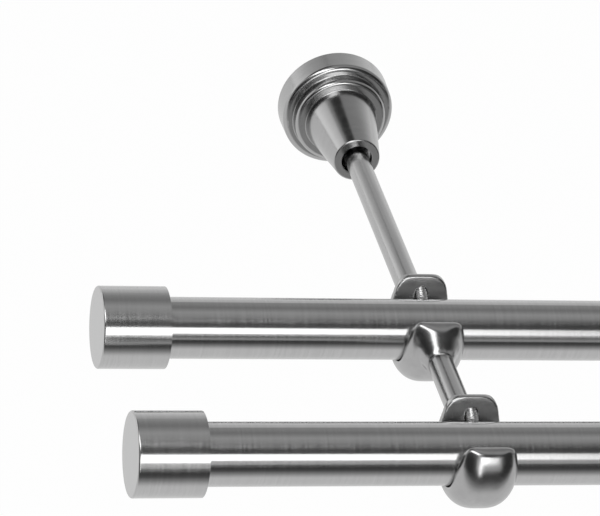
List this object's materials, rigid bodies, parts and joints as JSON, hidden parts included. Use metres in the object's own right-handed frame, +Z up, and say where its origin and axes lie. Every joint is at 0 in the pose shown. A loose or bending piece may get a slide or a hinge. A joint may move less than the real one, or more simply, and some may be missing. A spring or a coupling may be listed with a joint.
{
  "type": "double curtain pole",
  "caption": "Double curtain pole: a rear and a front round metal pole with plain cylindrical end caps, held in cast cradles on arms that run to round wall rosettes.",
  "frame": {"origin": "on the wall, midway between the two brackets, level with their arms", "axes": "+X along the poles, +Y into the wall, so the room is towards -Y, +Z up"},
  "size_m": [0.9054, 0.2227, 0.039],
  "materials": {
    "pole_steel": "brushed round the tube",
    "cap_steel": "fine brushed, matte face",
    "cradle_metal": "polished casting",
    "rosette_metal": "satin",
    "arm_steel": "satin",
    "screw_steel": "bright",
    "plate_steel": "bright zinc",
    "liner_plastic": "matte"
  },
  "bodies": {
    "root": {"left_wall_plate": "plate_steel", "left_rosette": "rosette_metal", "left_rosette_lock_screw": "screw_steel", "left_rear_arm": "arm_steel", "left_rear_cradle": "cradle_metal", "left_rear_clamp_screw": "screw_steel", "left_front_arm": "arm_steel", "left_front_cradle": "cradle_metal", "left_front_clamp_screw": "screw_steel", "left_rear_finial_cap": "cap_steel", "left_rear_finial_liner": "liner_plastic", "left_front_finial_cap": "cap_steel", "left_front_finial_liner": "liner_plastic", "right_wall_plate": "plate_steel", "right_rosette": "rosette_metal", "right_rosette_lock_screw": "screw_steel", "right_rear_arm": "arm_steel", "right_rear_cradle": "cradle_metal", "right_rear_clamp_screw": "screw_steel", "right_front_arm": "arm_steel", "right_front_cradle": "cradle_metal", "right_front_clamp_screw": "screw_steel", "right_rear_finial_cap": "cap_steel", "right_rear_finial_liner": "liner_plastic", "right_front_finial_cap": "cap_steel", "right_front_finial_liner": "liner_plastic", "rear_pole": "pole_steel", "front_pole": "pole_steel"}
  },
  "joints": []
}
